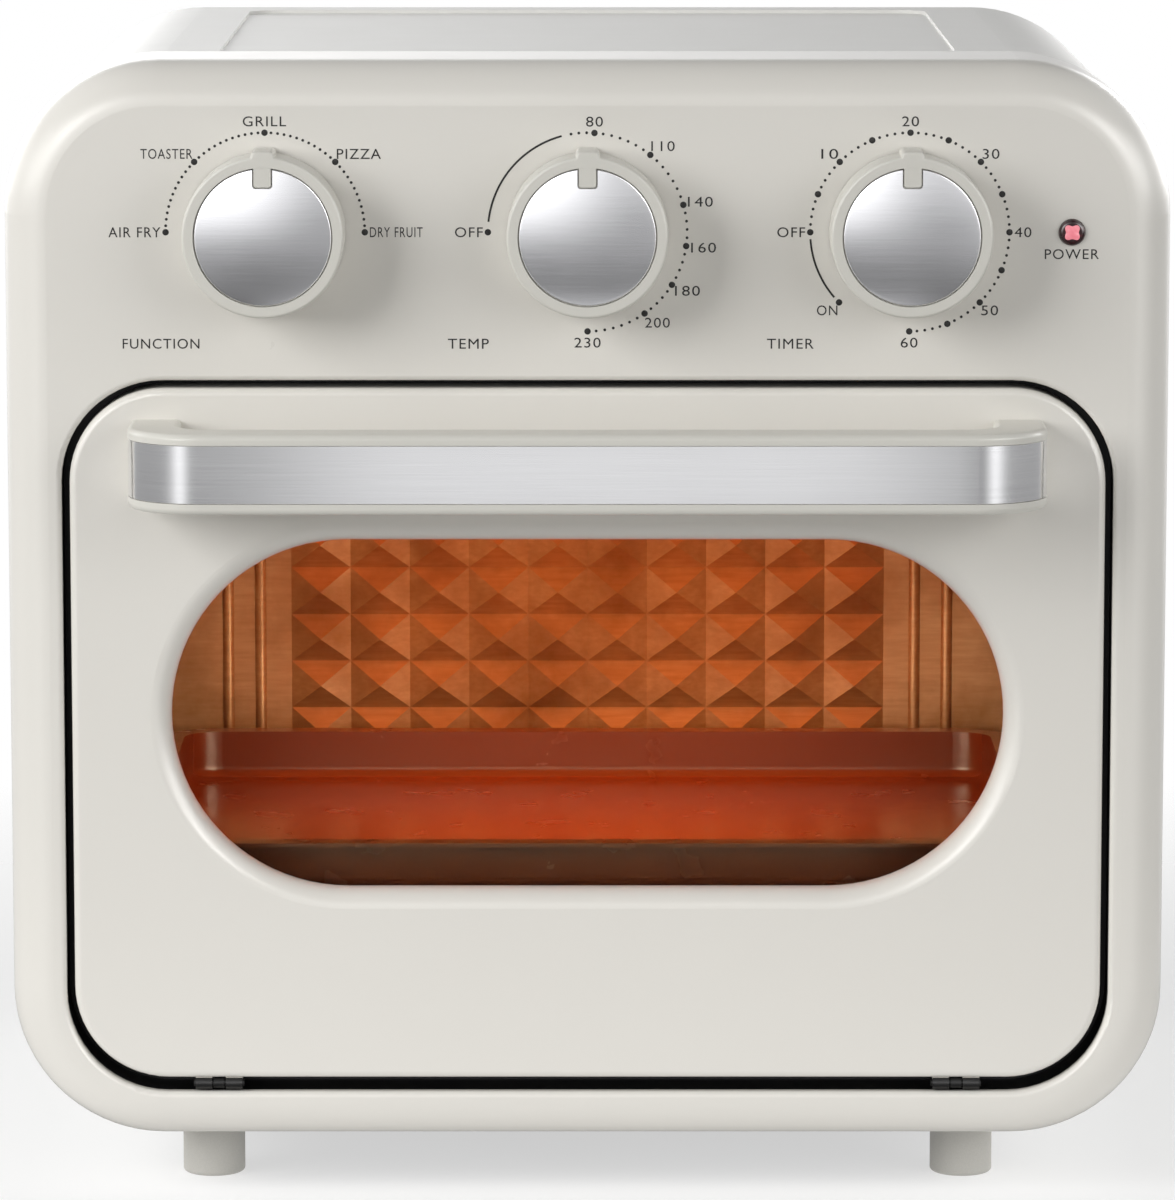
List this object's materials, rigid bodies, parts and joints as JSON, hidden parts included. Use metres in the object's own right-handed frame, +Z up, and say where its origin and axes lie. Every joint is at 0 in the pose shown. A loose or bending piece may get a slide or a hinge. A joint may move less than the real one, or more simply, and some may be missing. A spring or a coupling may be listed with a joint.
{
  "type": "toaster oven",
  "caption": "Compact countertop air-fry toaster oven with a drop-down glazed door, bar handle, rotary control dials and short round feet.",
  "frame": {"origin": "on the surface the feet stand on, under the middle of the oven's outer box", "axes": "+X to the right seen from the front, -Y out of the front (the door side), +Z up"},
  "size_m": [0.32, 0.284, 0.3175],
  "materials": {
    "enamel_front": "satin warm white moulding",
    "enamel_casing": "satin warm white powder coat",
    "enamel_trim": "satin warm white moulding",
    "galvanised_sheet": "galvanised, dull",
    "black_enamel": "black heat-proof enamel",
    "black_plastic": "moulded black",
    "cavity_steel": "aluminised steel",
    "heater_sheath": "oxidised sheath",
    "ceramic": "unglazed steatite",
    "chromed_wire": "bright chrome",
    "bronze_enamel": "bronze non-stick coat",
    "copper_tube": "copper",
    "control_metal": "plated steel",
    "lamp_lens": "translucent red",
    "nylon": "natural nylon",
    "laminations": "stacked steel sheet",
    "winding_tape": "taped winding",
    "bright_steel": "bright plated",
    "door_glass": "clear tempered",
    "door_liner": "black heat-proof enamel",
    "brushed_strip": "brushed",
    "brushed_disc": "satin",
    "foot_rubber": "grey rubber"
  },
  "bodies": {
    "chassis": {"baking_tray": "bronze_enamel", "base_plate": "galvanised_sheet", "casing_screws": "bright_steel", "cavity_liner": "cavity_steel", "control_bracket": "galvanised_sheet", "cord_gland": "black_plastic", "crumb_tray": "cavity_steel", "fan_guard": "cavity_steel", "fan_housing": "galvanised_sheet", "foot_front_left": "foot_rubber", "foot_front_right": "foot_rubber", "foot_rear_left": "foot_rubber", "foot_rear_right": "foot_rubber", "front_frame": "black_enamel", "front_panel": "enamel_front", "function_switch": "black_plastic", "heat_shield": "galvanised_sheet", "heater_bushes": "ceramic", "hinge_bracket_left": "galvanised_sheet", "hinge_bracket_right": "galvanised_sheet", "lamp_housing": "black_plastic", "lower_heater_front": "heater_sheath", "lower_heater_rear": "heater_sheath", "motor_bridge": "galvanised_sheet", "motor_coil": "winding_tape", "motor_core": "laminations", "motor_lower_strap": "galvanised_sheet", "motor_upper_strap": "galvanised_sheet", "outer_wrap": "enamel_casing", "power_lamp": "lamp_lens", "rear_panel": "enamel_casing", "rear_reflector": "cavity_steel", "terminal_block": "nylon", "thermal_fuse": "control_metal", "thermostat": "control_metal", "thermostat_bulb": "copper_tube", "timer": "control_metal", "upper_heater": "heater_sheath", "wire_rack": "chromed_wire"},
    "door": {"door_outer_panel": "enamel_front", "door_inner_panel": "door_liner", "door_glass": "door_glass", "glass_retainer": "galvanised_sheet", "door_screws": "bright_steel", "handle": "enamel_trim", "handle_strip": "brushed_strip", "hinge_pins": "bright_steel"},
    "fan_rotor": {"motor_shaft": "bright_steel", "motor_rotor": "laminations", "hot_air_fan": "galvanised_sheet", "cooling_fan": "galvanised_sheet"},
    "function_dial": {"function_knob": "enamel_trim", "function_knob_disc": "brushed_disc", "function_shaft": "bright_steel"},
    "temp_dial": {"temp_knob": "enamel_trim", "temp_knob_disc": "brushed_disc", "temp_shaft": "bright_steel"},
    "timer_dial": {"timer_knob": "enamel_trim", "timer_knob_disc": "brushed_disc", "timer_shaft": "bright_steel"}
  },
  "joints": [
    {"name": "door_hinge", "type": "hinge", "parent": "chassis", "child": "door", "pos_m": [0, -0.106, 0.0334], "axis": [1, 0, 0], "range_deg": [0, 88]},
    {"name": "function_turn", "type": "hinge", "parent": "chassis", "child": "function_dial", "pos_m": [-0.088, -0.108, 0.271], "axis": [0, 1, 0], "range_deg": [-90, 90]},
    {"name": "temp_turn", "type": "hinge", "parent": "chassis", "child": "temp_dial", "pos_m": [0, -0.108, 0.271], "axis": [0, 1, 0], "range_deg": [-90, 180]},
    {"name": "timer_turn", "type": "hinge", "parent": "chassis", "child": "timer_dial", "pos_m": [0.088, -0.108, 0.271], "axis": [0, 1, 0], "range_deg": [-135, 180]},
    {"name": "fan_spin", "type": "hinge", "parent": "chassis", "child": "fan_rotor", "pos_m": [0, 0.02, 0.262], "axis": [0, 0, 1], "continuous": true}
  ]
}
